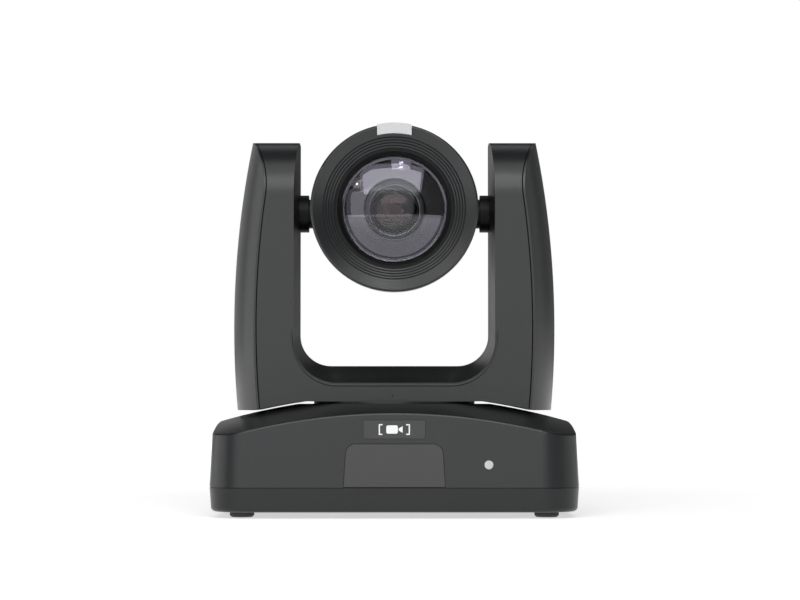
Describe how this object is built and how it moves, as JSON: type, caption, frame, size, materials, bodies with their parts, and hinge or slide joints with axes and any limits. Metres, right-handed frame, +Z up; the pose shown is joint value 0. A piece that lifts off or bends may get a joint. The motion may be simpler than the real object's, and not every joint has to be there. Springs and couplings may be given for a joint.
{
  "type": "ptz camera",
  "caption": "Pan-tilt-zoom camera: a drum-shaped lens head tilts between two arms of a U-shaped yoke that pans on a low domed base.",
  "frame": {"origin": "on the supporting surface under the pan axis", "axes": "+Z up along the pan axis; the lens looks along -Y at rest; +X to the right seen from the front"},
  "size_m": [0.18, 0.145, 0.1934],
  "materials": {
    "casing": "moulded charcoal-black plastic, fine spark texture",
    "tray": "the same plastic, slightly darker",
    "window": "smoked infrared-pass plastic, satin",
    "badge": "thin satin plate",
    "black_plastic": "black inner plastic",
    "lamp": "light grey translucent lamp plastic",
    "rubber": "black rubber",
    "steel": "plated sheet and turned steel",
    "brass": "knurled brass inserts",
    "aluminium": "die-cast aluminium",
    "board": "green circuit board",
    "gear_plastic": "natural acetal",
    "lens_black": "black anodised lens tube",
    "glass": "coated optical glass"
  },
  "bodies": {
    "base": {"base_tray": "tray", "rubber_feet": "rubber", "tray_screws": "steel", "base_cover": "casing", "ir_window": "window", "vent_grilles": "tray", "badge_plate": "badge", "status_light_pipe": "lamp", "front_sensor_board": "board", "rear_io_panel": "steel", "dc_jack": "black_plastic", "video_usb_ports": "steel", "lan_port": "steel", "serial_ports": "steel", "audio_jack": "black_plastic", "main_board": "board", "tripod_insert": "brass", "bracket_inserts": "brass", "base_chassis": "steel", "pan_bearing_housing": "aluminium", "pan_bearing_outer_ring": "steel", "pan_bearing_balls": "steel", "pan_motor": "steel", "pan_home_sensor": "black_plastic", "axis_cable": "black_plastic"},
    "pan_pinion_shaft": {"pan_pinion": "gear_plastic"},
    "yoke": {"pan_bearing_inner_ring": "steel", "pan_retaining_nut": "steel", "pan_shaft": "steel", "pan_gear": "gear_plastic", "turntable": "casing", "yoke_shell": "casing", "yoke_liner": "casing", "left_arm_cover": "casing", "right_arm_cover": "casing", "yoke_chassis": "steel", "yoke_screws": "steel", "trunnion_bushes": "black_plastic", "tilt_motor": "steel", "tilt_belt": "rubber", "tilt_home_sensor": "black_plastic", "driver_board": "board"},
    "tilt_motor_shaft": {"tilt_motor_pulley": "aluminium"},
    "head": {"front_bezel": "casing", "tally_light": "lamp", "head_barrel": "casing", "head_rear_cap": "casing", "head_frame": "aluminium", "head_trunnions": "lens_black", "tilt_pulley": "aluminium", "lens_hood": "black_plastic", "front_lens": "glass", "lens_barrel": "lens_black", "lens_baffle": "lens_black", "inner_lens": "glass", "iris_diaphragm": "black_plastic", "guide_rods": "steel", "head_boards": "board"},
    "zoom_group": {"zoom_carriage": "lens_black"},
    "focus_group": {"focus_carriage": "lens_black"}
  },
  "joints": [
    {"name": "pan", "type": "hinge", "parent": "base", "child": "yoke", "pos_m": [0, 0, 0.0365], "axis": [0, 0, 1], "range_deg": [-170, 170]},
    {"name": "pan_pinion_spin", "type": "hinge", "parent": "base", "child": "pan_pinion_shaft", "pos_m": [-0.02726, -0.02726, 0.04], "axis": [0, 0, 1], "range_deg": [-850, 850]},
    {"name": "tilt", "type": "hinge", "parent": "yoke", "child": "head", "pos_m": [0, 0, 0.1522], "axis": [-1, 0, 0], "range_deg": [-30, 90]},
    {"name": "tilt_motor_spin", "type": "hinge", "parent": "yoke", "child": "tilt_motor_shaft", "pos_m": [-0.068, 0, 0.095], "axis": [-1, 0, 0], "range_deg": [-66, 198]},
    {"name": "zoom_slide", "type": "slide", "parent": "head", "child": "zoom_group", "axis": [0, -1, 0], "range_m": [-0.006, 0.006]},
    {"name": "focus_slide", "type": "slide", "parent": "head", "child": "focus_group", "axis": [0, -1, 0], "range_m": [-0.004, 0.004]}
  ],
  "couplings": [
    {"joint": "pan_pinion_spin", "follows": "pan", "ratio": -5},
    {"joint": "tilt_motor_spin", "follows": "tilt", "ratio": 2.2}
  ]
}
